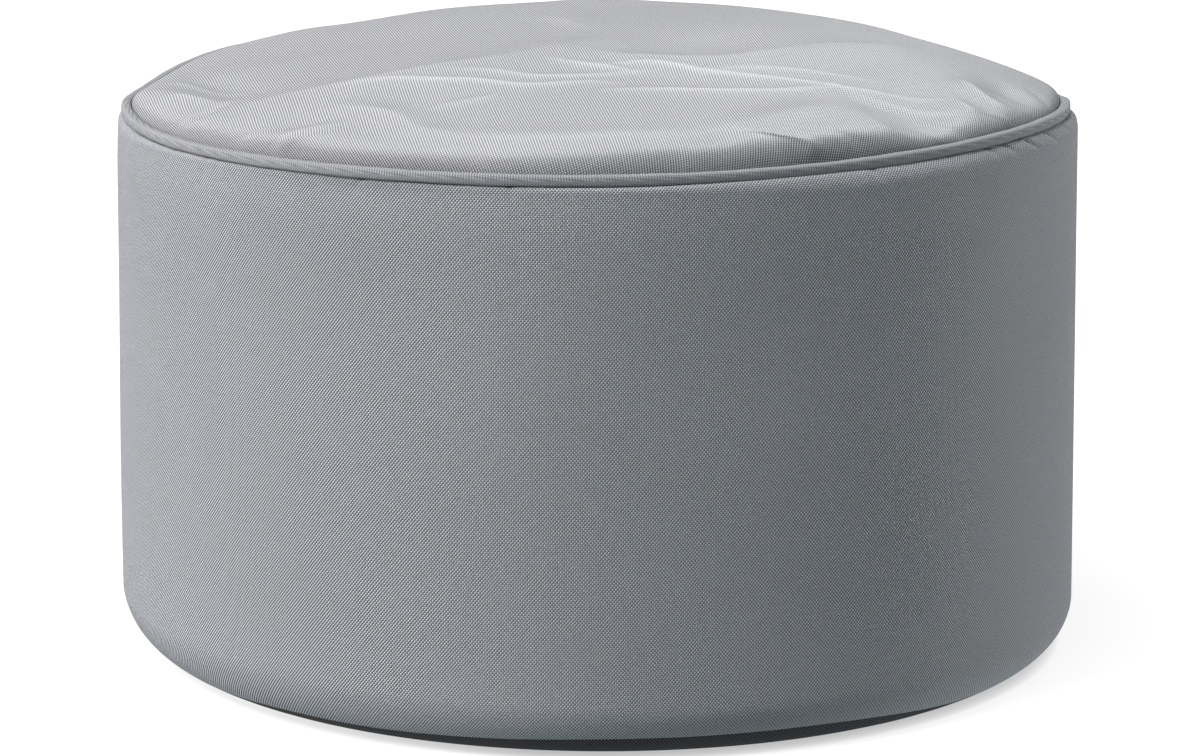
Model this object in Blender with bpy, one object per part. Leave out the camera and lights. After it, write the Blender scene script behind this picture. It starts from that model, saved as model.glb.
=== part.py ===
# Round drum pouf (bean bag) of grey woven cloth, lying as it was filled: a crowned top with its
# folds, a side band in two halves, cord piping along the top seam and a dark base panel.
# Metres, +Z up, the floor at z = 0 and the front facing -Y. A bearing is an angle round the
# upright axis, 0 at the front and positive towards +X. Run with Blender 4.5.

import math

import bmesh
import bpy

# Driving dimensions
SIDE_RADIUS_HIGH = 0.300     # side band just under its shoulder
SIDE_RADIUS_LOW = 0.3035     # side band low down, where the filling settles
SEAM_RADIUS = 0.2925         # middle of the piping, mean
SEAM_HEIGHT = 0.339          # middle of the piping above the floor, mean
PIPING_RADIUS = 0.003
CROWN_RISE = 0.0395          # middle of the crown above its rolled edge
CROWN_POWER = 2.6            # the higher, the flatter the crown before it rounds over
CROWN_LEAN = 0.30            # how much more the right half is crowned than the left
CROWN_BACK = 0.25            # how much more the back half is crowned than the front
EDGE_ROLL = 0.0085           # height of the rolled edge beside the piping, mean
EDGE_ROLL_FRONT = 0.0045     # how much higher that is at the front
EDGE_ROLL_RIGHT = 0.0020     # how much higher that is at the right
EDGE_POWER = 50              # the higher, the tighter the edge rolls down to the piping
FOLD_TAPER = 1.4             # the higher, the sooner a fold dies away towards its ends
FOLD_END_POWER = 12          # with the blend below, how near to the seam the folds carry on
FOLD_END_BLEND = 0.4
SHOULDER_DROP = 0.014        # height over which the side band rounds out under the piping
CORNER_RADIUS = 0.034        # rounding of the lower edge, mean
CORNER_LEAN = 0.005          # how much rounder that is at the left than the mean
BASE_EDGE_HEIGHT = 0.007     # seam of the base panel above the floor
SIDE_SEAM_BEARING = math.radians(84.0)
GAP = 0.0003                 # clear space between pieces that meet
SHARP_EDGE = math.radians(50.0)

# How finely the forms are faceted
CROWN_RINGS = 36
EDGE_REACHES = (0.955, 0.975, 0.990, 1.0)   # rows of the rolled edge, 1 at the seam
SAME_PLACE = 0.00001                        # corners this close are one corner
FRONT_SECTIONS = 50
BACK_SECTIONS = 58
ROUND_SECTIONS = 108
SHOULDER_ROWS = 4
SIDE_ROWS = 4
CORNER_ROWS = 5
BASE_EDGE_ROWS = 2

# Height of the sewn edge as it waves round the bag
SEAM_WAVES = (
    # waves, swing towards the right, swing towards the front
    (1, -0.0030, 0.0000),
    (2, 0.0065, 0.0000),
    (3, -0.0025, -0.0010),
)

# Places where the sewn edge is pulled out into a corner, or lies flatter beside one
SEAM_PULLS = (
    # bearing in degrees, half width in degrees, outward, up
    (84, 7, 0.0022, 0.0015),
    (102, 14, -0.0022, -0.0020),
    (-84, 6, 0.0014, 0.0010),
    (-101, 12, -0.0024, -0.0022),
)

# Main folds of the crown, seen in plan. A fold runs from its start to its end, its middle is
# bowed sideways to the left of that way, and it falls away over its left and right widths.
# A trough has a height below zero.
CROWN_FOLDS = (
    # start x, start y, end x, end y, bow, height, left width, right width
    # pillow along the left seam and the valley inside it
    (-0.280, -0.008, -0.215, -0.145, -0.008, 0.0070, 0.014, 0.020),
    (-0.262, 0.030, -0.200, -0.125, -0.004, -0.0045, 0.018, 0.012),
    # long crest up to the peak, then down to the right
    (-0.250, -0.150, 0.020, -0.058, -0.014, 0.0085, 0.034, 0.050),
    (-0.040, -0.050, 0.120, -0.160, 0.004, 0.0065, 0.028, 0.026),
    (0.060, -0.138, 0.275, -0.066, -0.022, 0.0065, 0.028, 0.026),
    # left front
    (-0.175, -0.148, -0.086, -0.252, 0.012, 0.0050, 0.018, 0.016),
    (-0.205, -0.232, -0.130, -0.198, 0.000, 0.0040, 0.012, 0.011),
    (-0.250, -0.165, -0.218, -0.124, 0.000, -0.0035, 0.009, 0.009),
    # start of the rolled front edge
    (-0.130, -0.232, 0.105, -0.236, -0.022, 0.0032, 0.026, 0.018),
    # right front
    (0.128, -0.158, 0.245, -0.204, 0.002, 0.0062, 0.013, 0.018),
    (0.206, -0.094, 0.276, -0.146, 0.003, 0.0055, 0.011, 0.011),
    (0.076, -0.230, 0.136, -0.290, -0.002, 0.0052, 0.010, 0.012),
    (0.158, -0.196, 0.212, -0.232, 0.000, 0.0045, 0.010, 0.011),
    # wrinkles across the middle
    (-0.135, -0.140, 0.030, -0.183, -0.010, 0.0036, 0.009, 0.009),
    (-0.020, -0.186, 0.170, -0.158, -0.019, 0.0040, 0.009, 0.009),
    (0.010, -0.150, 0.160, -0.174, 0.004, 0.0040, 0.009, 0.009),
    # softer folds of the back
    (-0.215, 0.060, -0.130, 0.225, 0.012, 0.0035, 0.026, 0.022),
    (0.120, 0.235, 0.232, 0.085, 0.014, 0.0040, 0.022, 0.026),
    (-0.060, 0.272, 0.060, 0.262, 0.008, 0.0030, 0.016, 0.020),
)

# Broad swells and hollows of the crown
CROWN_SWELLS = (
    # x, y, radius, height
    (-0.015, -0.066, 0.028, 0.0030),
    (-0.120, -0.010, 0.080, -0.0035),
    (0.095, -0.080, 0.050, -0.0065),
    (0.185, -0.162, 0.022, -0.0045),
    (0.245, -0.092, 0.018, -0.0055),
    (0.228, -0.140, 0.013, -0.0035),
    (0.128, -0.252, 0.018, -0.0075),
    (0.172, -0.196, 0.016, -0.0050),
    (0.213, -0.202, 0.014, -0.0050),
    (-0.155, -0.182, 0.020, -0.0055),
    (-0.195, -0.205, 0.017, -0.0060),
    (0.060, -0.268, 0.026, -0.0040),
    (0.000, 0.110, 0.035, 0.0030),
    (0.090, 0.150, 0.050, 0.0010),
    (0.262, 0.070, 0.045, -0.0075),
    (-0.030, 0.225, 0.045, -0.0040),
    (-0.165, 0.175, 0.035, -0.0030),
)

# Broad swells and hollows of the side band
SIDE_SWELLS = (
    # bearing in degrees, height, half width in degrees, half height, outward
    (-38, 0.255, 16, 0.060, -0.0016),
    (-14, 0.200, 18, 0.070, 0.0014),
    (12, 0.240, 14, 0.060, -0.0014),
    (40, 0.150, 20, 0.080, 0.0012),
    (62, 0.270, 12, 0.050, -0.0014),
    (-66, 0.120, 18, 0.070, 0.0012),
    (118, 0.230, 16, 0.070, -0.0016),
    (150, 0.140, 18, 0.080, 0.0014),
    (-122, 0.240, 18, 0.060, -0.0016),
    (-158, 0.170, 16, 0.070, 0.0014),
)

# Materials: name, colour, roughness
SIDE_CLOTH = ("grey_side_cloth", (0.235, 0.243, 0.258, 1.0), 0.85)
TOP_CLOTH = ("grey_top_cloth", (0.262, 0.270, 0.285, 1.0), 0.85)
PIPING_CLOTH = ("grey_piping_cloth", (0.215, 0.223, 0.238, 1.0), 0.80)
BASE_CLOTH = ("charcoal_base_cloth", (0.030, 0.031, 0.034, 1.0), 0.90)


def clear_scene():
    for thing in list(bpy.data.objects):
        bpy.data.objects.remove(thing, do_unlink=True)


def cloth(recipe):
    name, colour, roughness = recipe
    material = bpy.data.materials.new(name)
    material.use_nodes = True
    shader = material.node_tree.nodes["Principled BSDF"]
    shader.inputs["Base Color"].default_value = colour
    shader.inputs["Roughness"].default_value = roughness
    shader.inputs["Metallic"].default_value = 0.0
    return material


def turn_between(bearing, degrees):
    """Shortest turn from a bearing in degrees to a bearing in radians, in degrees."""
    turn = math.degrees(bearing) - degrees
    return (turn + 180.0) % 360.0 - 180.0


def bell(distance, width):
    """Soft hill: 1 in the middle, about a third at one width."""
    return math.exp(-(distance / width) ** 2)


def seam_line(bearing):
    """Radius and height of the middle of the piping."""
    radius = SEAM_RADIUS
    height = SEAM_HEIGHT
    for waves, right, front in SEAM_WAVES:
        height += right * math.sin(waves * bearing) + front * math.cos(waves * bearing)
    for degrees, half_width, outward, up in SEAM_PULLS:
        share = bell(turn_between(bearing, degrees), half_width)
        radius += outward * share
        height += up * share
    return radius, height


def fold_height(x, y):
    """Sum of the crown's folds and swells at a place in plan."""
    total = 0.0
    for x0, y0, x1, y1, bow, height, left_width, right_width in CROWN_FOLDS:
        length = math.hypot(x1 - x0, y1 - y0)
        along_x = (x1 - x0) / length
        along_y = (y1 - y0) / length
        share = ((x - x0) * along_x + (y - y0) * along_y) / length
        if share <= 0.0 or share >= 1.0:
            continue
        aside = (y - y0) * along_x - (x - x0) * along_y
        aside -= 4.0 * bow * share * (1.0 - share)
        width = left_width if aside > 0.0 else right_width
        total += height * math.sin(math.pi * share) ** FOLD_TAPER * bell(aside, width)
    for swell_x, swell_y, radius, height in CROWN_SWELLS:
        total += height * bell(math.hypot(x - swell_x, y - swell_y), radius)
    return total


def crown_point(reach, bearing):
    """Point of the top cloth, reach running from 0 in the middle to 1 at the seam."""
    seam_radius, seam_height = seam_line(bearing)
    radius = reach * (seam_radius - PIPING_RADIUS - GAP)
    x = radius * math.sin(bearing)
    y = -radius * math.cos(bearing)
    rise = CROWN_RISE * (1.0 - reach ** CROWN_POWER)
    rise *= 1.0 + (CROWN_LEAN * x + CROWN_BACK * y) / SIDE_RADIUS_HIGH
    roll = EDGE_ROLL + (EDGE_ROLL_RIGHT * x - EDGE_ROLL_FRONT * y) / SIDE_RADIUS_HIGH
    rise += roll * math.sqrt(1.0 - reach ** EDGE_POWER)
    rise += fold_height(x, y) * (1.0 - reach ** FOLD_END_POWER) ** FOLD_END_BLEND
    level = SEAM_HEIGHT + (seam_height - SEAM_HEIGHT) * reach ** 2
    return x, y, level + rise


def side_radius(bearing, height):
    """Radius of the side band at a height above its rounded lower edge."""
    share = (height - CORNER_RADIUS) / (SEAM_HEIGHT - SHOULDER_DROP - CORNER_RADIUS)
    radius = SIDE_RADIUS_LOW + (SIDE_RADIUS_HIGH - SIDE_RADIUS_LOW) * share
    for degrees, swell_height, half_width, half_height, outward in SIDE_SWELLS:
        across = bell(turn_between(bearing, degrees), half_width)
        radius += outward * across * bell(height - swell_height, half_height)
    return radius


def corner(bearing):
    """Radius of the rounded lower edge, and the radius where the flat base begins."""
    rounding = CORNER_RADIUS - CORNER_LEAN * math.sin(bearing)
    return rounding, side_radius(bearing, rounding) - rounding


def corner_radius_at(bearing, height):
    """Radius of the rounded lower edge at a height below its top."""
    rounding, flat = corner(bearing)
    return flat + math.sqrt(rounding ** 2 - (rounding - height) ** 2)


def side_section(bearing):
    """Radius and height down the filled side band, from its upper edge to its lower one."""
    seam_radius, seam_height = seam_line(bearing)
    top = seam_height - PIPING_RADIUS - GAP
    shoulder_low = seam_height - SHOULDER_DROP
    shoulder_radius = side_radius(bearing, shoulder_low)
    points = []
    for row in range(SHOULDER_ROWS):
        turn = 0.5 * math.pi * row / SHOULDER_ROWS
        radius = seam_radius + (shoulder_radius - seam_radius) * math.sin(turn)
        points.append((radius, shoulder_low + (top - shoulder_low) * math.cos(turn)))
    rounding, flat = corner(bearing)
    for row in range(SIDE_ROWS):
        height = shoulder_low + (rounding - shoulder_low) * row / SIDE_ROWS
        points.append((side_radius(bearing, height), height))
    edge = BASE_EDGE_HEIGHT + GAP
    last_turn = math.asin((rounding - edge) / rounding)
    for row in range(CORNER_ROWS + 1):
        turn = last_turn * row / CORNER_ROWS
        points.append((flat + rounding * math.cos(turn), rounding * (1.0 - math.sin(turn))))
    return points


def base_section(bearing):
    """Radius and height of the base panel, from its upper edge round to the floor."""
    rounding, flat = corner(bearing)
    points = []
    for row in range(BASE_EDGE_ROWS + 1):
        height = BASE_EDGE_HEIGHT * (1.0 - row / BASE_EDGE_ROWS) ** 2
        points.append((corner_radius_at(bearing, height), height))
    return points


def link_piece(name, mesh, material, collection):
    piece = bpy.data.objects.new(name, mesh)
    mesh.materials.append(material)
    mesh.shade_smooth()
    mesh.set_sharp_from_angle(angle=SHARP_EDGE)
    collection.objects.link(piece)
    return piece


def loft_round(name, bearings, section, axis_high, axis_low, shift_y):
    """Filled form lofted round the upright axis, whole or as a wedge closed at both ends."""
    shape = bmesh.new()
    high = shape.verts.new((0.0, shift_y, axis_high))
    low = shape.verts.new((0.0, shift_y, axis_low))
    columns = []
    for bearing in bearings:
        column = [high]
        for radius, height in section(bearing):
            place = (radius * math.sin(bearing), shift_y - radius * math.cos(bearing), height)
            column.append(shape.verts.new(place))
        column.append(low)
        columns.append(column)
    whole = abs(bearings[-1] - bearings[0]) > 1.9 * math.pi
    if whole:
        columns.append(columns[0])
    else:
        shape.faces.new(columns[0])
        shape.faces.new(reversed(columns[-1]))
    for here, there in zip(columns, columns[1:]):
        for row in range(len(here) - 1):
            corners = [here[row], here[row + 1], there[row + 1], there[row]]
            shape.faces.new(list(dict.fromkeys(corners)))
    bmesh.ops.recalc_face_normals(shape, faces=shape.faces[:])
    mesh = bpy.data.meshes.new(name)
    shape.to_mesh(mesh)
    shape.free()
    return mesh


def even_bearings(first, last, count):
    return [first + (last - first) * step / count for step in range(count + 1)]


def even_disc(shape, rings):
    """Disc of even triangles with radius 1, made from a finely cut hexagon."""
    sixth = math.pi / 3.0
    bmesh.ops.create_circle(shape, cap_ends=True, cap_tris=True, segments=6, radius=1.0)
    bmesh.ops.subdivide_edges(shape, edges=shape.edges[:], cuts=rings - 1, use_grid_fill=True)
    for vert in shape.verts:
        spread = math.hypot(vert.co.x, vert.co.y)
        angle = math.atan2(vert.co.y, vert.co.x)
        middle = round(angle / sixth) * sixth
        reach = spread * math.cos(angle - middle) / math.cos(0.5 * sixth)
        turned = middle + 0.5 * sixth * math.tan(angle - middle) / math.tan(0.5 * sixth)
        vert.co.x = reach * math.cos(turned)
        vert.co.y = reach * math.sin(turned)


def draw_on(shape, edges, place):
    """One more row of faces beyond these edges, each new corner put where the function says."""
    grown = bmesh.ops.extrude_edge_only(shape, edges=edges)["geom"]
    for item in grown:
        if isinstance(item, bmesh.types.BMVert):
            item.co = place(item.co)
    return [item for item in grown if isinstance(item, bmesh.types.BMEdge)]


def plan_bearing(place):
    return math.atan2(place.x, -place.y)


def under_seam(place):
    """The same place, lowered to the underside of the top panel."""
    return place.x, place.y, seam_line(plan_bearing(place))[1] - PIPING_RADIUS


def add_top_panel(collection):
    """Crowned, folded cloth over its share of the filling, flat against the side halves."""
    shape = bmesh.new()
    even_disc(shape, CROWN_RINGS)
    for vert in shape.verts:
        reach = min(math.hypot(vert.co.x, vert.co.y), 1.0) * EDGE_REACHES[0]
        vert.co = crown_point(reach, plan_bearing(vert.co))
    rim = [edge for edge in shape.edges if edge.is_boundary]
    for reach in EDGE_REACHES[1:]:
        rim = draw_on(shape, rim, lambda place: crown_point(reach, plan_bearing(place)))
    rim = draw_on(shape, rim, under_seam)
    draw_on(shape, rim, lambda place: (0.0, 0.0, SEAM_HEIGHT - PIPING_RADIUS))
    bmesh.ops.remove_doubles(shape, verts=shape.verts[:], dist=SAME_PLACE)
    bmesh.ops.recalc_face_normals(shape, faces=shape.faces[:])
    mesh = bpy.data.meshes.new("top_panel")
    shape.to_mesh(mesh)
    shape.free()
    return link_piece("top_panel", mesh, cloth(TOP_CLOTH), collection)


def add_side_panels(collection):
    """Front and back halves of the side band, each with its share of the filling."""
    seam = SIDE_SEAM_BEARING
    halves = (
        ("side_panel_front", even_bearings(-seam, seam, FRONT_SECTIONS), -0.5 * GAP),
        ("side_panel_back", even_bearings(seam, 2.0 * math.pi - seam, BACK_SECTIONS), 0.5 * GAP),
    )
    high = SEAM_HEIGHT - PIPING_RADIUS - GAP
    low = BASE_EDGE_HEIGHT + GAP
    material = cloth(SIDE_CLOTH)
    for name, bearings, shift_y in halves:
        mesh = loft_round(name, bearings, side_section, high, low, shift_y)
        link_piece(name, mesh, material, collection)


def add_base_panel(collection):
    """Dark base cloth, flat on the floor with its edge turned up to the base seam."""
    bearings = even_bearings(0.0, 2.0 * math.pi, ROUND_SECTIONS)[:-1]
    mesh = loft_round("base_panel", bearings, base_section, BASE_EDGE_HEIGHT, 0.0, 0.0)
    link_piece("base_panel", mesh, cloth(BASE_CLOTH), collection)


def add_piping(collection):
    """Cord piping lying in the groove between the top panel and the side band."""
    curve = bpy.data.curves.new("piping", "CURVE")
    curve.dimensions = "3D"
    curve.bevel_depth = PIPING_RADIUS
    curve.bevel_resolution = 1
    spline = curve.splines.new("POLY")
    spline.points.add(ROUND_SECTIONS - 1)
    spline.use_cyclic_u = True
    for point, bearing in zip(spline.points, even_bearings(0.0, 2.0 * math.pi, ROUND_SECTIONS)):
        radius, height = seam_line(bearing)
        point.co = (radius * math.sin(bearing), -radius * math.cos(bearing), height, 1.0)
    curve.materials.append(cloth(PIPING_CLOTH))
    piece = bpy.data.objects.new("piping", curve)
    collection.objects.link(piece)


def main():
    clear_scene()
    collection = bpy.data.collections.new("bean_bag_pouf")
    bpy.context.scene.collection.children.link(collection)
    add_top_panel(collection)
    add_side_panels(collection)
    add_base_panel(collection)
    add_piping(collection)


main()
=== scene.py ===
# Round drum pouf in grey basket-weave cloth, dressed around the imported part.
# The front faces -Y and the floor is z = 0. A bearing runs from 0 at the front towards +X.
import math

import bpy
import numpy as np
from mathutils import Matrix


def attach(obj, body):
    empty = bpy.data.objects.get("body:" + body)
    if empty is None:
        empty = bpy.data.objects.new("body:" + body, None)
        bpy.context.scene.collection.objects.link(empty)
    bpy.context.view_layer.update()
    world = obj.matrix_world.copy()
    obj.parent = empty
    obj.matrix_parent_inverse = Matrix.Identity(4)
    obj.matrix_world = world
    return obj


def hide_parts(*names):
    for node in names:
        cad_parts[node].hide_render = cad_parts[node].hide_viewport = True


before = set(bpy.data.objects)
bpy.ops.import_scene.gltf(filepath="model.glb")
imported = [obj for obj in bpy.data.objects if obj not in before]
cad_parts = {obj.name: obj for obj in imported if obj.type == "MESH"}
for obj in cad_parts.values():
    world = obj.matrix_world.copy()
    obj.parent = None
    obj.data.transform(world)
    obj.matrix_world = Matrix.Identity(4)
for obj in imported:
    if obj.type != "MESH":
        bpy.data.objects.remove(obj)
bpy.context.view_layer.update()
print("frame loaded:", sorted(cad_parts))

# sizes that the pieces share, in metres, as in the part's source, except the base's edge: there it
# is 7 mm high all round, here it starts lower and rises along the front
bag = {
    "sideRadiusHigh": 0.300,
    "sideRadiusLow": 0.3035,
    "seamRadius": 0.2925,
    "seamHeight": 0.339,
    "cornerRadius": 0.034,
    "cornerLean": 0.005,
    "baseEdge": 0.0065,      # least height of the dark base's edge
    "sideSeam": math.radians(84),
    "gap": 0.0003,
    "pipingRadius": 0.0033,
}

# the sewn edge's height: waves round the bag, swing to the right, swing to the front
seamWaves = [
    (1, -0.0030, 0.0000),
    (2, 0.0065, 0.0000),
    (3, -0.0025, -0.0010),
]

# places where the sewn edge is drawn out or in: bearing, half width in degrees, outward, up
seamPulls = [
    (84, 5, -0.0008, 0.0012),
    (102, 14, -0.0022, -0.0020),
    (-84, 6, 0.0014, 0.0010),
    (-25, 30, 0.0034, 0.0008),
    (-101, 12, -0.0024, -0.0022),
]


def bell(distance, width, shape=2.0):
    # 1 in the middle, falling away over the width
    return np.exp(-(np.abs(distance) / width) ** shape)


def smoothStep(value, low, high):
    share = np.clip((value - low) / (high - low), 0, 1)
    return share * share * (3 - 2 * share)


def turnFrom(bearing, degrees):
    return (np.degrees(bearing) - degrees + 180) % 360 - 180


def seamLine(bearing):
    # radius and height of the middle of the piping
    radius = np.full_like(bearing, bag["seamRadius"])
    height = np.full_like(bearing, bag["seamHeight"])
    for waves, right, front in seamWaves:
        height = height + right * np.sin(waves * bearing) + front * np.cos(waves * bearing)
    for degrees, halfWidth, outward, up in seamPulls:
        share = bell(turnFrom(bearing, degrees), halfWidth)
        radius = radius + outward * share
        height = height + up * share
    return radius, height


def smoothPath(points, steps=5):
    # a smooth curve through the points, in metres from millimetres
    knots = np.array([points[0]] + list(points) + [points[-1]], dtype=float) / 1000
    path = []
    for i in range(1, len(knots) - 2):
        a, b, c, d = knots[i - 1:i + 3]
        for step in range(steps):
            t = step / steps
            curve = 2 * a - 5 * b + 4 * c - d + t * (3 * (b - c) + d - a)
            path.append(b + 0.5 * t * (c - a + t * curve))
    path.append(knots[-2])
    return np.array(path)


def foldAlong(x, y, points, height, leftWidth, rightWidth, shape=2.0, taper=1.0):
    # a ridge that follows a path seen in plan, or a trough where its height is below zero
    path = smoothPath(points)
    lengths = np.hypot(*np.diff(path, axis=0).T)
    reach = 3.2 * max(leftWidth, rightWidth) / 1000    # farther out it has no height left
    near = (x > path[:, 0].min() - reach) & (x < path[:, 0].max() + reach)
    near &= (y > path[:, 1].min() - reach) & (y < path[:, 1].max() + reach)
    px, py = x[near], y[near]
    best = np.full_like(px, 9.0)    # farther than any point lies
    aside = np.zeros_like(px)
    along = np.zeros_like(px)
    start = 0.0
    for (ax, ay), (bx, by), length in zip(path[:-1], path[1:], lengths):
        ux, uy = (bx - ax) / length, (by - ay) / length
        run = np.clip((px - ax) * ux + (py - ay) * uy, 0, length)
        gapX, gapY = px - ax - run * ux, py - ay - run * uy
        distance = np.hypot(gapX, gapY)
        closer = distance < best
        best = np.where(closer, distance, best)
        side = np.sign(ux * gapY - uy * gapX)
        aside = np.where(closer, side * distance, aside)
        along = np.where(closer, start + run, along)
        start += length
    share = along / start
    fade = np.sin(np.pi * np.clip(share, 0, 1)) ** taper
    width = np.where(aside > 0, leftWidth, rightWidth) / 1000
    result = np.zeros_like(x)
    result[near] = height / 1000 * fade * bell(aside, width, shape)
    return result


def addPiece(name, points, faces, weave, node, cloth):
    mesh = bpy.data.meshes.new(name)
    mesh.from_pydata(np.asarray(points).tolist(), [], faces)
    corners = np.empty(len(mesh.loops), dtype=np.int32)
    mesh.loops.foreach_get("vertex_index", corners)
    layer = mesh.uv_layers.new(name="weave")
    layer.data.foreach_set("uv", np.asarray(weave, dtype=np.float32)[corners].ravel())
    mesh.materials.append(cloth)
    mesh.shade_smooth()
    mesh.set_sharp_from_angle(angle=math.radians(60))
    piece = bpy.data.objects.new(name, mesh)
    bpy.context.scene.collection.objects.link(piece)
    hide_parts(node)
    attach(piece, "root")
    print(name, "has", len(mesh.polygons), "faces")
    return piece


# woven cloth, sizes in metres
def wovenCloth(name, look):
    material = bpy.data.materials.new(name)
    material.use_nodes = True
    nodes = material.node_tree.nodes
    links = material.node_tree.links
    shader = nodes["Principled BSDF"]

    def maths(operation, first, second=None, clamp=False):
        # one operation on two values, each a number or another node's result
        node = nodes.new("ShaderNodeMath")
        node.operation = operation
        node.use_clamp = clamp
        for socket, value in zip(node.inputs, (first, second)):
            if value is None:
                continue
            if isinstance(value, (int, float)):
                socket.default_value = value
            else:
                links.new(value, socket)
        return node.outputs[0]

    def around(texture, amount):
        # a noise's swing to both sides of nothing
        return maths("MULTIPLY", maths("SUBTRACT", texture.outputs["Fac"], 0.5), amount)

    def facing(axis, start, end, first, last):
        # goes from first to last as the surface's direction along one axis goes from start to end
        node = nodes.new("ShaderNodeMapRange")
        node.interpolation_type = "SMOOTHSTEP"
        for socket, size in zip(("From Min", "From Max", "To Min", "To Max"), (start, end, first, last)):
            node.inputs[socket].default_value = size
        links.new(turned.outputs[axis], node.inputs["Value"])
        return node.outputs["Result"]

    place = nodes.new("ShaderNodeUVMap")
    place.uv_map = "weave"
    parts = nodes.new("ShaderNodeSeparateXYZ")
    links.new(place.outputs["UV"], parts.inputs[0])
    direction = nodes.new("ShaderNodeTexCoord")
    turned = nodes.new("ShaderNodeSeparateXYZ")
    links.new(direction.outputs["Normal"], turned.inputs[0])
    # yarns wander a little, so that no row is ruler straight
    wander = nodes.new("ShaderNodeTexNoise")
    wander.inputs["Scale"].default_value = look["wanderScale"]
    wander.inputs["Detail"].default_value = 2
    links.new(place.outputs["UV"], wander.inputs["Vector"])
    sway = around(wander, look["wander"])
    across = maths("MULTIPLY", maths("ADD", parts.outputs["X"], sway), math.pi / look["warpPitch"])
    along = maths("MULTIPLY", maths("ADD", parts.outputs["Y"], sway), math.pi / look["weftPitch"])
    # plus 1 where an upright yarn lies on top, minus 1 where a level one does
    over = maths("MULTIPLY", maths("SINE", across), maths("SINE", along))
    crown = maths("POWER", maths("ABSOLUTE", over), look["yarnRound"])
    # thick and thin stretches of yarn
    slub = nodes.new("ShaderNodeTexNoise")
    slub.inputs["Scale"].default_value = look["slubScale"]
    slub.inputs["Detail"].default_value = 3
    links.new(place.outputs["UV"], slub.inputs["Vector"])
    # broad, faint unevenness of the dye
    dye = nodes.new("ShaderNodeTexNoise")
    dye.inputs["Scale"].default_value = look["dyeScale"]
    dye.inputs["Detail"].default_value = 3
    links.new(place.outputs["UV"], dye.inputs["Vector"])

    tone = maths("MULTIPLY", over, look["yarnContrast"])
    tone = maths("ADD", tone, maths("MULTIPLY", maths("SUBTRACT", crown, 0.6), look["gapDepth"]))
    # one diagonal of the weave stands out more than the other, and more so towards the left
    diagonal = maths("COSINE", maths(look["diagonal"], across, along))
    share = facing("X", -0.10, -0.55, look["twill"], look["twillLeft"])
    tone = maths("ADD", tone, maths("MULTIPLY", diagonal, share))
    tone = maths("ADD", tone, around(slub, look["slub"]))
    tone = maths("ADD", tone, around(dye, look["dye"]))
    # painted light and shade: tone added by the way the surface faces
    for first, *others in look["paintedLightAndShade"]:
        turn = facing(*first)
        for other in others:
            turn = maths("MULTIPLY", turn, facing(*other))
        tone = maths("ADD", tone, turn)
    if look["paintedHighlights"]:
        # painted highlight: the crests of folds are painted lighter
        paintedHighlight = nodes.new("ShaderNodeAttribute")
        paintedHighlight.attribute_name = "paintedHighlight"
        tone = maths("ADD", tone, paintedHighlight.outputs["Fac"])
    # black at 0, the cloth's own colour at one half, twice as bright at 1
    tone = maths("ADD", tone, 0.5, clamp=True)
    colours = nodes.new("ShaderNodeMix")
    colours.data_type = "RGBA"
    colours.inputs["A"].default_value = (0, 0, 0, 1)
    colours.inputs["B"].default_value = (*[2 * value for value in look["colour"]], 1)
    links.new(tone, colours.inputs["Factor"])
    links.new(colours.outputs["Result"], shader.inputs["Base Color"])

    height = maths("ADD", crown, maths("MULTIPLY", slub.outputs["Fac"], 0.5))
    relief = nodes.new("ShaderNodeBump")
    relief.inputs["Strength"].default_value = look["relief"]
    relief.inputs["Distance"].default_value = look["yarnHeight"]
    links.new(height, relief.inputs["Height"])
    links.new(relief.outputs["Normal"], shader.inputs["Normal"])
    shader.inputs["Roughness"].default_value = look["roughness"]
    shader.inputs["Specular IOR Level"].default_value = 0.05
    return material


greyCloth = {
    "colour": (0.2530, 0.2650, 0.2785),
    "warpPitch": 0.0010,
    "weftPitch": 0.0012,
    "wander": 0.0006,
    "wanderScale": 30,
    "yarnContrast": 0.34,
    "yarnRound": 0.6,
    "gapDepth": 0.22,
    "twill": 0.09,
    "twillLeft": 0.26,
    "diagonal": "SUBTRACT",
    "slub": 0.16,
    "slubScale": 420,
    "dye": 0.05,
    "dyeScale": 9,
    "paintedLightAndShade": [],
    "paintedHighlights": False,
    "relief": 1.0,
    "yarnHeight": 0.0004,
    "roughness": 0.85,
}
topLook = {
    "colour": (0.2620, 0.2700, 0.2785),
    "diagonal": "ADD",
    "twill": -0.13,
    "twillLeft": -0.13,
    "yarnContrast": 0.26,
    "relief": 0.7,
    # painted light and shade by the surface's direction: axis, from, to, first and last change of tone, and
    # for some a second axis that limits it; the top is painted darker where it turns to the back, stands
    # upright, faces to the front left or faces well to the right, and painted lighter where it faces to the
    # front or a little to the right
    "paintedLightAndShade": [
        [("Y", 0.25, -0.45, -0.065, 0.065)],
        [("Z", 0.90, 0.45, 0, -0.100)],
        [("X", -0.05, -0.42, 0, -0.078), ("Y", -0.05, -0.45, 0, 1)],
        [("X", -0.05, 0.25, 0, 0.090), ("Z", 0.70, 0.92, 0, 1)],
        [("X", 0.22, 0.45, 0, -0.072)],
    ],
    "paintedHighlights": True,
}
pipingLook = {
    # the grey cloth made darker here as painted shade for the piping tucked under the rolled edge
    "colour": (0.1980, 0.2070, 0.2170),
    "twillLeft": 0.09,
    "yarnContrast": 0.20,
    "relief": 0.3,
}
baseLook = {
    "colour": (0.034, 0.035, 0.038),
    "relief": 0.3,
}
sideCloth = wovenCloth("greyBasketWeave", greyCloth)
topCloth = wovenCloth("greyBasketWeaveTop", {**greyCloth, **topLook})
pipingCloth = wovenCloth("greyBiasCutPiping", {**greyCloth, **pipingLook})
baseCloth = wovenCloth("charcoalBaseCloth", {**greyCloth, **baseLook})

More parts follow.
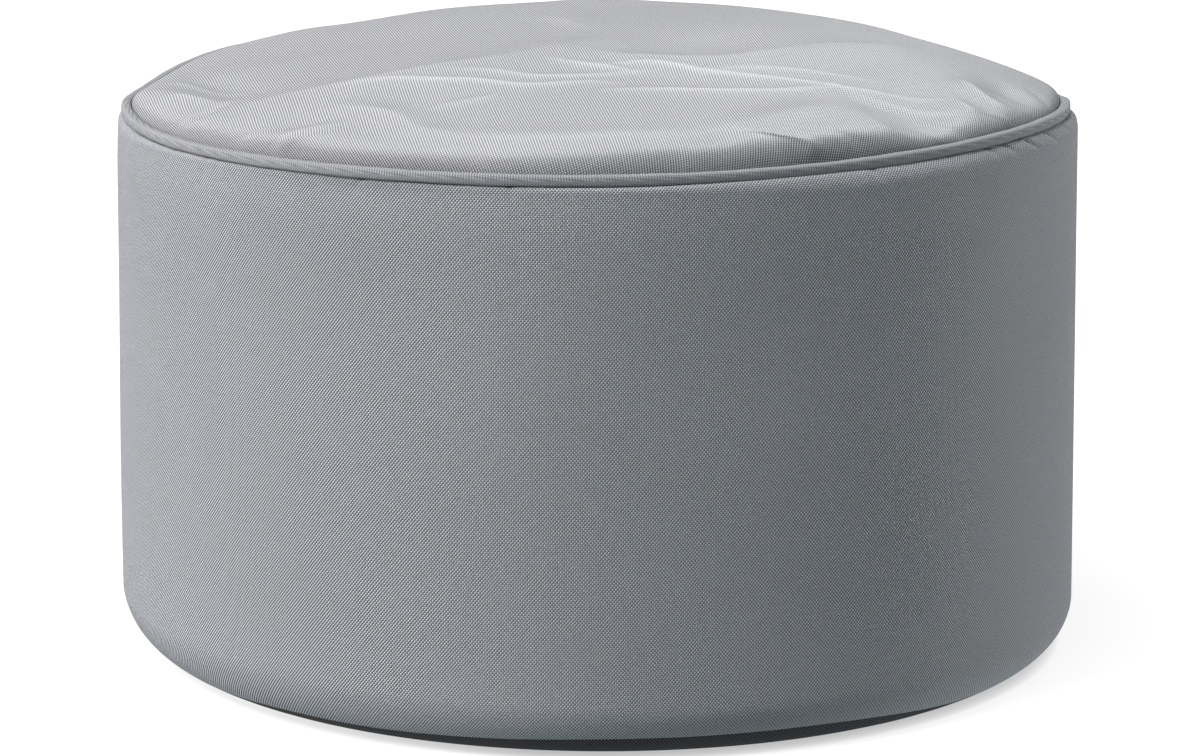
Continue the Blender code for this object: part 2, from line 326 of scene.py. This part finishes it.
# the crowned top: sizes in metres
top = {
    "rise": 0.0395,          # middle of the crown above its rolled edge
    "power": 2.6,
    "lean": 0.30,            # right half fuller than the left
    "back": 0.25,            # back half fuller than the front
    "roll": 0.0085,          # height of the rolled edge beside the piping
    "rollFront": 0.0045,
    "rollRight": 0.0020,
    "rollPower": 60,
    "rollShape": 0.32,       # 0.5 is a quarter round, less is squarer
    "rollSwellPower": 6,
    "faceReach": (0.90, 0.97),    # where the upright face beside the piping begins
    "faceEnd": 300,
    "slantReach": (0.93, 1.0),
    "rings": 150,
    "edgeReach": 0.955,      # where the fine rows of the rolled edge begin
    "edgeRows": 12,
    "foldEnd": 12,           # how near the seam the folds keep their height
    "foldEndShape": 0.4,
    "paintedHighlightWidth": 0.25,      # width of a painted highlight along a crest, as a share of the fold's, and in millimetres
    "paintedHighlightLeast": 1.4,
    "thick": 0.003,
    "weaveTurn": math.radians(29),
}

# places where the rolled edge stands higher: bearing and half width in degrees, height
rollSwells = [
    (20, 26, 0.0055),
    (-50, 24, 0.0035),
    (66, 20, -0.0045),
    (43, 9, -0.0040),
]

# folds of the top, seen in plan in millimetres:
# path, height, width to the left of the way, width to the right, shape (2 round, 1 creased), taper,
# and for the sharper ones how bright the painted highlight on the crest is
topFolds = [
    # pillow along the left seam, with the valley inside it
    ([(-284, -12), (-268, -60), (-244, -105), (-216, -140)], 5.0, 14, 20, 2.0, 1.2),
    ([(-262, 30), (-242, -45), (-222, -100), (-200, -140)], -2.4, 18, 12, 2.0, 1.3),
    ([(-283, -5), (-262, -28), (-243, -60), (-228, -88), (-208, -104)], 2.0, 5, 7, 1.5, 1.0, 0.07),
    ([(-264, -74), (-250, -95), (-237, -114), (-222, -132)], 1.6, 5, 6, 1.5, 1.0, 0.06),
    # long crest up to the peak, then down to the right
    ([(-250, -150), (-185, -152), (-115, -148), (-60, -124), (-20, -92), (16, -84)], 7.5, 34, 50, 2.0, 1.2),
    ([(-215, -145), (-185, -150), (-148, -153), (-105, -145), (-60, -126), (-18, -93)],
     3.0, 9, 16, 1.4, 0.8, 0.03),
    ([(-40, -75), (-4, -112), (34, -134), (72, -142), (108, -122), (150, -90), (195, -70), (228, -30)],
     6.5, 24, 26, 2.0, 1.2),
    ([(-18, -93), (-2, -116), (34, -138), (72, -146), (105, -126), (132, -100), (190, -74)],
     2.2, 8, 14, 1.5, 0.8, 0.04),
    # left front
    ([(-172, -178), (-142, -196), (-122, -211), (-110, -226), (-102, -240), (-74, -256)],
     2.6, 14, 16, 1.8, 1.2),
    ([(-158, -185), (-142, -197), (-122, -211), (-110, -226), (-102, -240), (-78, -254)],
     1.4, 6, 7, 1.4, 1.0, 0.04),
    ([(-203, -228), (-186, -226), (-172, -222), (-154, -219), (-138, -216)], 3.6, 8, 10, 1.6, 1.2, 0.05),
    ([(-250, -168), (-240, -152), (-230, -140), (-216, -126)], -3.2, 5, 6, 1.3, 1.2),
    # start of the rolled front edge
    ([(-130, -240), (-80, -256), (-40, -267), (0, -270), (40, -266), (74, -254), (104, -236)],
     2.4, 18, 10, 2.0, 1.2, 0.06),
    # right front
    ([(134, -174), (152, -181), (166, -184), (178, -185), (192, -185), (210, -178)], -4.5, 7, 22, 1.5, 1.1),
    ([(132, -170), (152, -178), (166, -181), (178, -182), (192, -182), (212, -174)],
     1.6, 4, 4, 1.4, 0.9, 0.12),
    ([(214, -108), (224, -128), (234, -140), (246, -143), (258, -136)], 5.8, 9, 10, 1.5, 1.1, 0.07),
    ([(206, -150), (214, -160), (222, -168), (232, -172)], 2.8, 6, 8, 1.5, 1.2, 0.05),
    ([(70, -252), (82, -260), (92, -266), (102, -270), (114, -270)], 2.5, 8, 12, 1.6, 1.1, 0.08),
    ([(150, -212), (160, -221), (170, -226), (184, -226)], 1.8, 6, 8, 1.6, 1.2),
    ([(262, -70), (270, -82), (278, -100)], -2.6, 5, 5, 1.5, 1.0),
    # wrinkles across the middle
    ([(-34, -126), (-27, -131), (-10, -141), (9, -151), (21, -158), (34, -160)], 1.6, 4, 5, 1.3, 1.0, 0.16),
    ([(0, -140), (8, -143), (28, -147), (46, -156), (62, -165), (84, -169), (104, -169), (123, -170),
      (143, -171), (168, -168), (196, -160), (210, -154)], 2.2, 4, 6, 1.3, 0.6, 0.22),
    ([(60, -164), (92, -157), (123, -150), (147, -149), (172, -150)], 1.4, 4, 5, 1.3, 1.0, 0.14),
    ([(0, -186), (9, -187), (37, -190), (67, -193), (98, -190), (122, -181), (143, -171)],
     2.0, 4, 6, 1.3, 0.7, 0.20),
    ([(-156, -158), (-144, -158), (-120, -160), (-96, -166), (-72, -169), (-49, -176), (-33, -177),
      (-18, -174), (-3, -173), (18, -176)], 2.0, 4, 6, 1.3, 0.7, 0.20),
    ([(-96, -150), (-74, -152), (-58, -155), (-38, -162), (-18, -162), (6, -161), (33, -160)],
     1.6, 4, 5, 1.3, 0.9, 0.16),
    ([(-56, -190), (-76, -200), (-98, -206)], 1.5, 4, 5, 1.5, 1.0, 0.05),
    ([(60, -258), (82, -249), (117, -224), (140, -208), (160, -200)], 3.0, 14, 12, 1.8, 1.0),
    # softer folds of the back
    ([(-215, 60), (-190, 150), (-130, 225)], 1.2, 26, 22, 2.0, 1.4),
    ([(120, 235), (192, 175), (232, 85)], 2.5, 22, 26, 2.0, 1.4),
    ([(-60, 272), (0, 275), (60, 262)], 2.5, 16, 20, 2.0, 1.4),
    ([(-40, 60), (-20, 20), (0, -20)], 1.8, 10, 8, 1.6, 1.2),
]

# broad swells and hollows of the top in millimetres: x, y, radius, height
topSwells = [
    (-15, -84, 28, 3.0),
    (-120, -10, 80, -3.5),
    (90, -72, 46, -6.0),
    (185, -162, 20, -3.0),
    (248, -100, 16, -5.0),
    (228, -140, 13, -3.0),
    (192, -212, 24, -4.0),
    (-172, -204, 18, -2.6),
    (-206, -200, 16, -3.0),
    (60, -268, 26, -3.0),
    (0, 110, 35, 3.0),
    (90, 150, 50, 1.0),
    (262, 70, 45, -7.5),
    (-30, 225, 45, -4.0),
    (-165, 175, 35, -3.0),
]

# folds of the rolled edge's upright face: bearing at its top and at the piping in degrees,
# outward in millimetres, width in millimetres
rollFolds = [
    (16, 25, 2.6, 5.0),
    (22, 31, -1.0, 7.0),
    (38, 43, 1.4, 5.0),
    (43, 47, -1.6, 6.0),
    (51, 57, 1.2, 4.0),
    (62, 66, -1.2, 5.0),
    (8, 9, -1.2, 7.0),
    (-12, -13, -1.0, 8.0),
    (-33, -38, 1.6, 5.0),
    (-41, -46, -1.6, 5.0),
    (-58, -60, -1.6, 5.0),
]


def topPoint(reach, bearing):
    # points of the top, how far the cloth has run to them, and how much painted highlight they get on a
    # crest; the reach is 0 in the middle and 1 at the piping
    seamRadius, seamHeight = seamLine(bearing)
    radius = reach * (seamRadius - bag["pipingRadius"])
    x, y = radius * np.sin(bearing), -radius * np.cos(bearing)
    wide = bag["sideRadiusHigh"]
    rise = top["rise"] * (1 - reach ** top["power"]) * (1 + (top["lean"] * x + top["back"] * y) / wide)
    roll = top["roll"] + (top["rollRight"] * x - top["rollFront"] * y) / wide
    for degrees, halfWidth, up in rollSwells:
        roll = roll + up * bell(turnFrom(bearing, degrees), halfWidth) * reach ** top["rollSwellPower"]
    rise = rise + roll * (1 - reach ** top["rollPower"]) ** top["rollShape"]
    folds = np.zeros_like(x)
    paintedHighlight = np.zeros_like(x)
    for path, height, leftWidth, rightWidth, shape, taper, *paintedHighlightShare in topFolds:
        folds += foldAlong(x, y, path, height, leftWidth, rightWidth, shape, taper)
        if paintedHighlightShare:
            left = top["paintedHighlightWidth"] * leftWidth + top["paintedHighlightLeast"]
            right = top["paintedHighlightWidth"] * rightWidth + top["paintedHighlightLeast"]
            paintedHighlight += foldAlong(x, y, path, 1000 * paintedHighlightShare[0], left, right, 2.0, taper)
    for swellX, swellY, spread, height in topSwells:
        folds += height / 1000 * bell(np.hypot(x - swellX / 1000, y - swellY / 1000), spread / 1000)
    rise = rise + folds * (1 - reach ** top["foldEnd"]) ** top["foldEndShape"]
    # the upright face beside the piping, held at the seam itself
    face = smoothStep(reach, *top["faceReach"]) * (1 - reach ** top["faceEnd"])
    for topDegrees, seamDegrees, outward, width in rollFolds:
        middle = topDegrees + (seamDegrees - topDegrees) * smoothStep(reach, *top["slantReach"])
        arc = np.radians(turnFrom(bearing, middle)) * bag["seamRadius"]
        radius = radius + outward / 1000 * face * bell(arc, width / 1000, 1.6)
    x, y = radius * np.sin(bearing), -radius * np.cos(bearing)
    height = bag["seamHeight"] + (seamHeight - bag["seamHeight"]) * reach ** 2 + rise
    # how far the cloth runs from the middle of the top, down the upright face too
    run = reach * (seamRadius - bag["pipingRadius"])
    run = run + roll * (1 - (1 - reach ** top["rollPower"]) ** top["rollShape"])
    return np.stack([x, y, height], axis=1), run, paintedHighlight


def evenDisc(rings):
    # reach and bearing of each corner of a disc of even triangles, and its faces
    reach, bearing, faces = [0.0], [0.0], []
    first = [0]
    for ring in range(1, rings + 1):
        first.append(len(reach))
        count = 6 * ring
        reach += [ring / rings] * count
        bearing += [2 * math.pi * step / count for step in range(count)]
        for sector in range(6):
            for step in range(ring):
                outer = first[ring] + sector * ring + step
                nextOuter = first[ring] + (sector * ring + step + 1) % count
                inner = first[ring - 1] + (sector * (ring - 1) + step) % max(1, count - 6)
                faces.append((inner, outer, nextOuter))
                if step < ring - 1:
                    nextInner = first[ring - 1] + (sector * (ring - 1) + step + 1) % (count - 6)
                    faces.append((inner, nextOuter, nextInner))
    return np.array(reach), np.array(bearing), faces, first[-1]


def addTop():
    reach, bearing, faces, rim = evenDisc(top["rings"])
    reach = reach * top["edgeReach"]
    points, run, paintedHighlight = topPoint(reach, bearing)
    around = bearing[rim:]
    count = len(around)
    rows, runs, paintedHighlights = [points[rim:]], [run], [paintedHighlight]
    for row in range(1, top["edgeRows"] + 1):
        turn = 0.5 * math.pi * row / top["edgeRows"]
        share = top["edgeReach"] + (1 - top["edgeReach"]) * math.sin(turn)
        rowPoints, run, paintedHighlight = topPoint(np.full(count, share), around)
        rows.append(rowPoints)
        runs.append(run)
        paintedHighlights.append(paintedHighlight)
    wall = rows[-1].copy()
    wall[:, 2] = seamLine(around)[1] - top["thick"]
    rows.append(wall)
    points = np.concatenate([points] + rows[1:] + [[[0, 0, bag["seamHeight"] - top["thick"]]]])
    run = np.concatenate(runs + [run + top["thick"], [0]])
    paintedHighlight = np.concatenate(paintedHighlights + [np.zeros(count + 1)])
    starts = [rim + count * row for row in range(len(rows))]
    for here, there in zip(starts, starts[1:]):
        for step in range(count):
            after = (step + 1) % count
            faces.append((here + step, there + step, there + after, here + after))
    last = len(points) - 1
    faces += [(starts[-1] + (step + 1) % count, starts[-1] + step, last) for step in range(count)]
    turn = np.arctan2(points[:, 1], points[:, 0]) + top["weaveTurn"]
    weave = np.stack([run * np.cos(turn), run * np.sin(turn)], axis=1)
    piece = addPiece("foldedTop", points, faces, weave, "top_panel", topCloth)
    # the painted highlight along fold crests, kept for the top's material
    paintedHighlights = piece.data.attributes.new("paintedHighlight", "FLOAT", "POINT")
    paintedHighlights.data.foreach_set("value", paintedHighlight.astype(np.float32))
    return piece


# the side band: sizes in metres
side = {
    "lipDrop": 0.0034,       # top of the shoulder below the middle of the piping
    "lipDepth": 0.006,       # how far the cloth runs in under the piping
    "lipStart": 0.001,       # where it starts to, outside the middle of the piping
    "shoulderStart": 0.0005,
    "shoulderDrop": 0.0080,
    "rounderDrop": 0.0060,   # how much deeper the rounding is at the right
    "shoulderShape": 2.8,    # 2 is a quarter round, more is squarer
    "rounderShape": 0.6,     # how much rounder the shoulder is at the right
    "lipRise": (24, 14, 0.0012),    # bearing and half width in degrees, height
    # rows of the lip under the piping: share of its depth, drop in millimetres
    "lipRows": [(1.0, 2.4), (0.8, 1.0), (0.55, 0.35), (0.3, 0.05)],
    "shoulderRows": 26,
    "upperShare": 0.12,      # the part of the wall below the shoulder that has closer rows
    "upperRows": 12,
    "wallRows": 50,
    "cornerRows": 24,
    "frontColumns": 720,
    "backColumns": 460,
    "seamPinch": 0.0016,
    "seamPinchWidth": 0.005,
}

# broad swells of the side: bearing in degrees, height, half width in degrees, half height, outward
sideSwells = [
    (-34, 0.336, 44, 0.018, -0.0024),
    (-38, 0.255, 16, 0.060, -0.0016),
    (-14, 0.200, 18, 0.070, 0.0014),
    (12, 0.240, 14, 0.060, -0.0014),
    (40, 0.150, 20, 0.080, 0.0012),
    (62, 0.270, 12, 0.050, -0.0014),
    (-66, 0.120, 18, 0.070, 0.0012),
    (118, 0.230, 16, 0.070, -0.0016),
    (150, 0.140, 18, 0.080, 0.0014),
    (-122, 0.240, 18, 0.060, -0.0016),
    (-158, 0.170, 16, 0.070, 0.0014),
]

# puckers that run down from the piping: bearing at the seam and at the lower end in degrees,
# length in millimetres, depth in millimetres, width in millimetres
sidePuckers = [
    (50, 52, 12, -1.2, 2.6),
    (53.5, 56, 13, -2.0, 2.8),
    (58, 61.5, 14, -2.8, 2.8),
    (64, 68, 15, -2.2, 3.0),
    (71, 75, 16, -1.4, 3.4),
    (78, 80, 16, -0.8, 3.2),
    (-57, -60, 22, -0.7, 3.0),
    (-61, -64.5, 20, -0.5, 3.0),
    (-50, -50.5, 24, -0.6, 2.8),
    (-47.5, -48, 26, -0.5, 2.6),
    (-26.5, -28, 12, -0.8, 2.6),
    (-9.5, -9, 10, -0.6, 2.4),
    (31.5, 33, 12, -0.8, 2.6),
    (110, 113, 14, -1.2, 3.0),
    (124, 122, 12, -0.9, 3.0),
    (171, 173, 14, -0.9, 3.2),
    (-112, -115, 14, -1.2, 3.0),
    (-140, -138, 12, -0.9, 3.0),
]

# places where the dark base's edge stands higher or lower; raised along the front, its dark cloth is partly
# the real base and partly painted shade under the bag's edge: bearing and half width in degrees, height
baseSwells = [
    (12, 28, 0.0080),
    (-30, 17, 0.0034),
    (66, 20, -0.0020),
    (-135, 40, 0.0020),
]


def sideRadius(bearing, height):
    low, high = bag["cornerRadius"], bag["seamHeight"] - side["shoulderDrop"]
    share = (height - low) / (high - low)
    radius = bag["sideRadiusLow"] + (bag["sideRadiusHigh"] - bag["sideRadiusLow"]) * share
    for degrees, swellHeight, halfWidth, halfHeight, outward in sideSwells:
        across = bell(turnFrom(bearing, degrees), halfWidth)
        radius = radius + outward * across * bell(height - swellHeight, halfHeight)
    return radius


def corner(bearing):
    # rounding of the lower edge, radius of the flat underside, and height of the dark base's edge
    rounding = bag["cornerRadius"] - bag["cornerLean"] * np.sin(bearing)
    edge = np.full_like(bearing, bag["baseEdge"])
    for degrees, halfWidth, up in baseSwells:
        edge = edge + up * bell(turnFrom(bearing, degrees), halfWidth, 4.0)
    return rounding, sideRadius(bearing, rounding) - rounding, edge


def sideRows(bearing):
    # radius and height of each row of the side, from inside the seam down to the base's edge
    seamRadius, seamHeight = seamLine(bearing)
    degrees, halfWidth, up = side["lipRise"]
    lip = seamHeight - side["lipDrop"] + up * bell(turnFrom(bearing, degrees), halfWidth)
    # 1 along the right, and nearly so at the left end
    rounder = smoothStep(np.sin(bearing), 0.10, 0.55) + 0.7 * smoothStep(-np.sin(bearing), 0.90, 0.99)
    low = seamHeight - side["shoulderDrop"] - side["rounderDrop"] * rounder
    shape = side["shoulderShape"] - side["rounderShape"] * rounder
    outer = sideRadius(bearing, low)
    rows = []
    for depth, drop in side["lipRows"]:
        rows.append((seamRadius + side["lipStart"] - depth * side["lipDepth"], lip - drop / 1000))
    for row in range(side["shoulderRows"]):
        turn = 0.5 * math.pi * row / side["shoulderRows"]
        start = seamRadius + side["shoulderStart"]
        run, rise = math.sin(turn) ** (2 / shape), math.cos(turn) ** (2 / shape)
        rows.append((start + (outer - start) * run, low + (lip - low) * rise))
    rounding, flat, edge = corner(bearing)
    closer = np.linspace(0, side["upperShare"], side["upperRows"], endpoint=False)
    wider = np.linspace(side["upperShare"], 1, side["wallRows"], endpoint=False)
    for share in np.concatenate([closer, wider]):
        height = low + (rounding - low) * share
        rows.append((sideRadius(bearing, height), height))
    lastTurn = np.arcsin((rounding - edge - bag["gap"]) / rounding)
    for row in range(side["cornerRows"] + 1):
        turn = lastTurn * row / side["cornerRows"]
        rows.append((flat + rounding * np.cos(turn), rounding * (1 - np.sin(turn))))
    radius = np.array([np.broadcast_to(row[0], bearing.shape) for row in rows])
    height = np.array([np.broadcast_to(row[1], bearing.shape) for row in rows])
    return radius, height


def sideRelief(bearing, down, ends):
    # how far puckers and the pinch beside each upright seam push the cloth outward
    shoulder = down[len(side["lipRows"])]
    relief = np.zeros_like(down)
    for seamDegrees, endDegrees, length, depth, width in sidePuckers:
        share = np.clip((down - shoulder) * 1000 / length, 0, 1)
        middle = math.radians(seamDegrees) + math.radians(endDegrees - seamDegrees) * share
        middle = middle + 2 * math.pi * np.round((bearing - middle) / (2 * math.pi))
        fade = np.cos(0.5 * np.pi * share) ** 1.3
        spread = width / 1000 * (0.7 + 0.9 * share)    # wider lower down
        relief += depth / 1000 * fade * bell((bearing - middle) * bag["sideRadiusHigh"], spread, 1.5)
    for end in ends:
        away = (bearing - end) * bag["sideRadiusHigh"]
        relief -= side["seamPinch"] * bell(away, side["seamPinchWidth"], 1.3)
    return relief


def addSide(name, node, first, last, columns, shiftY):
    bearing = np.linspace(first, last, columns + 1)
    radius, height = sideRows(bearing)
    stepR, stepZ = np.diff(radius, axis=0, prepend=radius[:1]), np.diff(height, axis=0, prepend=height[:1])
    down = np.cumsum(np.hypot(stepR, stepZ), axis=0)
    alongR, alongZ = np.gradient(radius, axis=0), np.gradient(height, axis=0)
    size = np.hypot(alongR, alongZ)
    relief = sideRelief(bearing, down, (first, last))
    radius, height = radius - relief * alongZ / size, height + relief * alongR / size
    points = np.stack([radius * np.sin(bearing), shiftY - radius * np.cos(bearing), height], axis=-1)
    arc = np.broadcast_to(bearing * bag["sideRadiusHigh"], down.shape)
    weave = np.stack([arc, -down], axis=-1)
    rowCount = len(radius)
    points = points.transpose(1, 0, 2).reshape(-1, 3)
    weave = weave.transpose(1, 0, 2).reshape(-1, 2)
    # the filled form closes on an upright line in the bag's middle
    axisHigh, axisLow = len(points), len(points) + 1
    middle = [[0, shiftY, height[0].min()], [0, shiftY, bag["baseEdge"] + bag["gap"]]]
    points = np.concatenate([points, middle])
    weave = np.concatenate([weave, [[0, 0], [0, 0]]])
    faces = []
    for column in range(columns):
        here, there = column * rowCount, (column + 1) * rowCount
        faces += [(here + row, here + row + 1, there + row + 1, there + row) for row in range(rowCount - 1)]
        faces.append((axisHigh, here, there))
        faces.append((axisLow, there + rowCount - 1, here + rowCount - 1))
    faces.append(tuple([axisLow] + list(range(rowCount - 1, -1, -1)) + [axisHigh]))
    start = columns * rowCount
    faces.append(tuple([axisHigh] + list(range(start, start + rowCount)) + [axisLow]))
    piece = addPiece(name, points, faces, weave, node, sideCloth)
    return piece


# the cord piping: sizes in metres
pipe = {
    "columns": 1200,
    "sides": 24,
    "flatness": 0.55,        # 1 is round, less is squarer
    # uneven thickness: waves round the bag, share of the thickness, start
    "swells": [(23, 0.03, 0), (61, 0.02, 1)],
}


def addPiping():
    bearing = np.linspace(0, 2 * math.pi, pipe["columns"], endpoint=False)
    radius, height = seamLine(bearing)
    turn = np.linspace(0, 2 * math.pi, pipe["sides"], endpoint=False)
    thick = np.ones_like(bearing)
    for waves, share, start in pipe["swells"]:
        thick = thick + share * np.sin(waves * bearing + start)
    thick = bag["pipingRadius"] * thick[:, None]
    outward = np.sign(np.cos(turn)) * np.abs(np.cos(turn)) ** pipe["flatness"]
    upward = np.sign(np.sin(turn)) * np.abs(np.sin(turn)) ** pipe["flatness"]
    out = radius[:, None] + thick * outward
    high = height[:, None] + thick * upward
    points = np.stack([out * np.sin(bearing)[:, None], -out * np.cos(bearing)[:, None], high], axis=-1)
    points = points.reshape(-1, 3)
    arc = np.broadcast_to((bearing * bag["seamRadius"])[:, None], out.shape)
    girth = np.broadcast_to(turn * bag["pipingRadius"], out.shape)
    # cut on the bias, so its yarns run slantwise
    weave = np.stack([(arc + girth) * 0.7071, (girth - arc) * 0.7071], axis=-1).reshape(-1, 2)
    faces = []
    for column in range(pipe["columns"]):
        here, there = column * pipe["sides"], (column + 1) % pipe["columns"] * pipe["sides"]
        for step in range(pipe["sides"]):
            after = (step + 1) % pipe["sides"]
            faces.append((here + step, there + step, there + after, here + after))
    return addPiece("cordPiping", points, faces, weave, "piping", pipingCloth)


# the dark base: sizes in metres
base = {
    "columns": 720,
    "edgeRows": 6,
}


def addBase():
    bearing = np.linspace(0, 2 * math.pi, base["columns"], endpoint=False)
    rounding, flat, edge = corner(bearing)
    rows = []
    for row in range(base["edgeRows"] + 1):
        height = edge * (1 - row / base["edgeRows"]) ** 2
        rows.append((flat + np.sqrt(rounding ** 2 - (rounding - height) ** 2), height))
    points = [[0, 0, bag["baseEdge"]]]
    for radius, height in rows:
        points += np.stack([radius * np.sin(bearing), -radius * np.cos(bearing), height], axis=1).tolist()
    points.append([0, 0, 0])
    count = base["columns"]
    faces = []
    for step in range(count):
        after = (step + 1) % count
        faces.append((0, 1 + step, 1 + after))
        for row in range(base["edgeRows"]):
            here, there = 1 + row * count, 1 + (row + 1) * count
            faces.append((here + step, there + step, there + after, here + after))
        lowest = 1 + base["edgeRows"] * count
        faces.append((len(points) - 1, lowest + after, lowest + step))
    weave = np.array(points)[:, :2]
    piece = addPiece("darkBase", points, faces, weave, "base_panel", baseCloth)
    return piece


addTop()
seam, halfGap = bag["sideSeam"], 0.5 * bag["gap"]
addSide("sideFront", "side_panel_front", -seam, seam, side["frontColumns"], -halfGap)
addSide("sideBack", "side_panel_back", seam, 2 * math.pi - seam, side["backColumns"], halfGap)
addPiping()
addBase()

# studio: a plain pale floor, broad lights from the left and the front left, one from behind the right
studio = {
    "floorReach": 40,
    "floorTone": 0.16,
    "floorGlow": 0.88,               # keeps the floor pale where the bag shades it
    "contactReach": 0.008,
    "contactDark": 0.45,
    "contactFade": (-0.28, -0.04),   # the contact shadow grows from the left to the right of these
    "skyAbove": 0.12,
    "skyBelow": 0.58,                # light that a pale floor throws back
    "skyTint": (0.920, 1.028, 1.060),
    "horizon": (-0.1, 0.1),
    "straightBelow": (-0.9, -0.4, 1.6),    # the light from there, and how much brighter it is
    # bearing, elevation, strength, softness in degrees, colour
    "leftLight": (-90, 15, 2.6, 18, (1.05, 0.955, 0.955)),
    "frontLight": (-58, 48, 3.8, 18, (1.02, 0.985, 0.990)),
    "highLight": (-60, 78, 2.6, 20, (1.00, 1.00, 1.00)),
    "rimLight": (116, 3, 4.0, 30, (1.03, 0.98, 0.98)),
    "lens": 120.62,
    "cameraPlace": (0.0016, -2.5, 0.7215),
    "cameraDown": 12.66,             # degrees below level
}


def addFloor():
    mesh = bpy.data.meshes.new("floor")
    reach = studio["floorReach"]
    corners = [(-reach, -reach, 0), (reach, -reach, 0), (reach, reach, 0), (-reach, reach, 0)]
    mesh.from_pydata(corners, [], [(0, 1, 2, 3)])
    paint = bpy.data.materials.new("palePaper")
    paint.use_nodes = True
    nodes, links = paint.node_tree.nodes, paint.node_tree.links
    shader = nodes["Principled BSDF"]
    shader.inputs["Base Color"].default_value = (studio["floorTone"],) * 3 + (1,)
    shader.inputs["Roughness"].default_value = 0.9
    shader.inputs["Specular IOR Level"].default_value = 0.1
    # a narrow soft shadow painted into the floor's glow where the bag stands
    nearby = nodes.new("ShaderNodeAmbientOcclusion")
    nearby.inputs["Distance"].default_value = studio["contactReach"]
    place = nodes.new("ShaderNodeTexCoord")
    parts = nodes.new("ShaderNodeSeparateXYZ")
    links.new(place.outputs["Object"], parts.inputs[0])
    dark = nodes.new("ShaderNodeMapRange")
    dark.inputs["From Min"].default_value, dark.inputs["From Max"].default_value = studio["contactFade"]
    dark.inputs["To Max"].default_value = studio["contactDark"]
    links.new(parts.outputs["X"], dark.inputs["Value"])
    paper = nodes.new("ShaderNodeMix")
    paper.data_type = "RGBA"
    paper.inputs["A"].default_value = (1, 1, 1, 1)
    links.new(dark.outputs["Result"], paper.inputs["Factor"])
    links.new(nearby.outputs["Color"], paper.inputs["B"])
    links.new(paper.outputs["Result"], shader.inputs["Emission Color"])
    shader.inputs["Emission Strength"].default_value = studio["floorGlow"]
    mesh.materials.append(paint)
    floor = bpy.data.objects.new("floor", mesh)
    floor.visible_diffuse = False    # the cloth is lit from below by the sky's tone alone
    bpy.context.scene.collection.objects.link(floor)


def addLight(name, bearing, elevation, strength, softness, colour):
    lamp = bpy.data.lights.new(name, "SUN")
    lamp.energy = strength
    lamp.color = colour
    lamp.angle = math.radians(softness)
    light = bpy.data.objects.new(name, lamp)
    light.rotation_euler = (math.radians(90 - elevation), 0, math.radians(bearing))
    bpy.context.scene.collection.objects.link(light)


def addSky():
    sky = bpy.data.worlds.new("sky")
    sky.use_nodes = True
    nodes, links = sky.node_tree.nodes, sky.node_tree.links
    place = nodes.new("ShaderNodeTexCoord")
    parts = nodes.new("ShaderNodeSeparateXYZ")
    links.new(place.outputs["Generated"], parts.inputs[0])
    upward = nodes.new("ShaderNodeMapRange")
    upward.inputs["From Min"].default_value, upward.inputs["From Max"].default_value = studio["horizon"]
    links.new(parts.outputs["Z"], upward.inputs["Value"])
    colours = nodes.new("ShaderNodeMix")
    colours.data_type = "RGBA"
    colours.inputs["A"].default_value = (*[studio["skyBelow"] * share for share in studio["skyTint"]], 1)
    colours.inputs["B"].default_value = (*[studio["skyAbove"] * share for share in studio["skyTint"]], 1)
    links.new(upward.outputs["Result"], colours.inputs["Factor"])
    links.new(colours.outputs["Result"], nodes["Background"].inputs["Color"])
    # brightest straight from the floor
    start, end, brighter = studio["straightBelow"]
    lowest = nodes.new("ShaderNodeMapRange")
    lowest.inputs["From Min"].default_value = start
    lowest.inputs["From Max"].default_value = end
    lowest.inputs["To Min"].default_value = brighter
    lowest.inputs["To Max"].default_value = 1.0
    links.new(parts.outputs["Z"], lowest.inputs["Value"])
    links.new(lowest.outputs["Result"], nodes["Background"].inputs["Strength"])
    bpy.context.scene.world = sky


def addCamera():
    lens = bpy.data.cameras.new("camera")
    lens.sensor_width = 36
    lens.lens = studio["lens"]
    lens.clip_end = 200
    camera = bpy.data.objects.new("camera", lens)
    camera.location = studio["cameraPlace"]
    camera.rotation_euler = (math.radians(90 - studio["cameraDown"]), 0, 0)
    bpy.context.scene.collection.objects.link(camera)
    bpy.context.scene.camera = camera


addFloor()
for name in ("leftLight", "frontLight", "highLight", "rimLight"):
    addLight(name, *studio[name])
addSky()
addCamera()
bpy.context.scene.view_settings.view_transform = "Standard"
print("studio ready")
